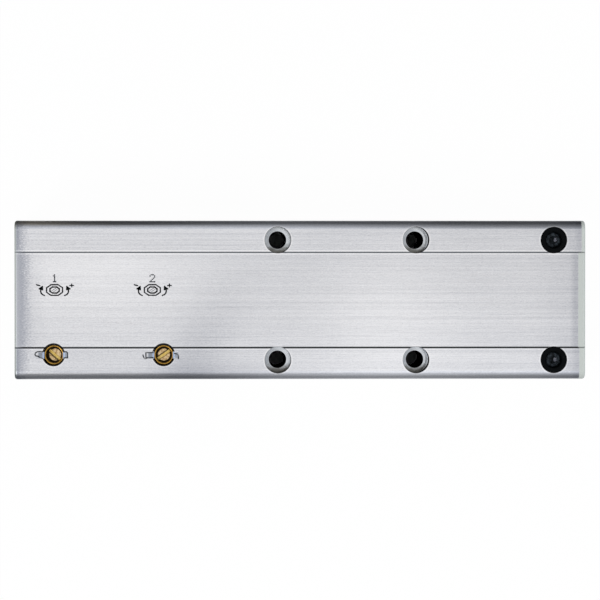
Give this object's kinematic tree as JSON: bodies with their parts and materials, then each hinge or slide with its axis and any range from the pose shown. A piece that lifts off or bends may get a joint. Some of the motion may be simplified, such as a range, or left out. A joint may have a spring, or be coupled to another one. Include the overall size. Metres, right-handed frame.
{
  "type": "overhead door closer body",
  "caption": "Rectangular aluminium door closer body with rack-and-pinion piston, return spring, spindle, brass speed valves and counterbored fixing holes.",
  "frame": {"origin": "middle of the flat mounting face, which the closer lies on", "axes": "+X along the body towards the spring end, +Z out of the mounting face towards the front with the valves, +Y across the body away from the valves"},
  "size_m": [0.216, 0.06, 0.043],
  "materials": {
    "housing_aluminium": "extruded, bright",
    "zinc_plated_steel": "turned and zinc plated",
    "ground_steel": "hardened and ground",
    "spring_steel": "oil tempered",
    "piston_iron": "machined",
    "valve_brass": "turned",
    "seal_rubber": "matt",
    "anchor_black": "matt",
    "black_oxide_steel": "black oxide",
    "seal_ring_ptfe": "filled PTFE"
  },
  "bodies": {
    "housing_body": {"housing": "housing_aluminium", "gallery_plugs": "ground_steel", "left_end_cap": "zinc_plated_steel", "right_end_cap": "zinc_plated_steel", "left_cap_o_ring": "seal_rubber", "right_cap_o_ring": "seal_rubber", "main_spring": "spring_steel", "upper_bearing_cap": "zinc_plated_steel", "lower_bearing_cap": "zinc_plated_steel", "upper_bearing_cup": "ground_steel", "lower_bearing_cup": "ground_steel", "upper_spindle_seal": "seal_rubber", "lower_spindle_seal": "seal_rubber", "latching_valve_collar": "valve_brass", "closing_valve_collar": "valve_brass", "upper_anchor_sleeve": "anchor_black", "lower_anchor_sleeve": "anchor_black", "upper_anchor_screw": "black_oxide_steel", "lower_anchor_screw": "black_oxide_steel"},
    "spindle_body": {"spindle": "ground_steel"},
    "piston_body": {"piston": "piston_iron", "piston_seal": "seal_ring_ptfe", "check_ball_retainer": "ground_steel", "relief_screw": "ground_steel", "relief_spring": "spring_steel"},
    "check_ball_body": {"check_ball": "ground_steel"},
    "relief_ball_body": {"relief_ball": "ground_steel"},
    "upper_needles_body": {"upper_bearing_needles": "ground_steel"},
    "lower_needles_body": {"lower_bearing_needles": "ground_steel"},
    "latching_valve_travel_body": {"latching_valve_o_ring": "seal_rubber"},
    "latching_valve_screw_body": {"latching_valve_screw": "valve_brass"},
    "closing_valve_travel_body": {"closing_valve_o_ring": "seal_rubber"},
    "closing_valve_screw_body": {"closing_valve_screw": "valve_brass"}
  },
  "joints": [
    {"name": "spindle_turn", "type": "hinge", "parent": "housing_body", "child": "spindle_body", "pos_m": [-0.03003, 0, 0.0215], "axis": [0, 1, 0], "range_deg": [0, 180]},
    {"name": "piston_slide", "type": "slide", "parent": "housing_body", "child": "piston_body", "axis": [1, 0, 0], "range_m": [0, 0.0314], "stiffness_N_per_m": 800, "springref_m": -0.025, "deforming": ["main_spring"]},
    {"name": "upper_needles_roll", "type": "hinge", "parent": "housing_body", "child": "upper_needles_body", "pos_m": [-0.03003, 0, 0.0215], "axis": [0, 1, 0], "range_deg": [0, 80]},
    {"name": "lower_needles_roll", "type": "hinge", "parent": "housing_body", "child": "lower_needles_body", "pos_m": [-0.03003, 0, 0.0215], "axis": [0, 1, 0], "range_deg": [0, 80]},
    {"name": "latching_valve_travel", "type": "slide", "parent": "housing_body", "child": "latching_valve_travel_body", "axis": [0, 0, 1], "range_m": [-0.00094, 0.00094]},
    {"name": "latching_valve_turn", "type": "hinge", "parent": "latching_valve_travel_body", "child": "latching_valve_screw_body", "pos_m": [-0.09325, -0.0208, 0.043], "axis": [0, 0, 1], "range_deg": [-450, 450]},
    {"name": "closing_valve_travel", "type": "slide", "parent": "housing_body", "child": "closing_valve_travel_body", "axis": [0, 0, 1], "range_m": [-0.00094, 0.00094]},
    {"name": "closing_valve_turn", "type": "hinge", "parent": "closing_valve_travel_body", "child": "closing_valve_screw_body", "pos_m": [-0.0518, -0.0208, 0.043], "axis": [0, 0, 1], "range_deg": [-450, 450]},
    {"name": "check_ball_lift", "type": "slide", "parent": "piston_body", "child": "check_ball_body", "axis": [-1, 0, 0], "range_m": [0, 0.0008]},
    {"name": "relief_ball_lift", "type": "slide", "parent": "piston_body", "child": "relief_ball_body", "axis": [1, 0, 0], "range_m": [0, 0.0008], "stiffness_N_per_m": 50, "springref_m": -0.001, "deforming": ["relief_spring"]}
  ],
  "couplings": [
    {"joint": "spindle_turn", "follows": "piston_slide", "rad_per_m": 100},
    {"joint": "upper_needles_roll", "follows": "piston_slide", "rad_per_m": 43.82},
    {"joint": "lower_needles_roll", "follows": "piston_slide", "rad_per_m": 43.82},
    {"joint": "latching_valve_turn", "follows": "latching_valve_travel", "rad_per_m": 8377.6},
    {"joint": "closing_valve_turn", "follows": "closing_valve_travel", "rad_per_m": 8377.6}
  ]
}
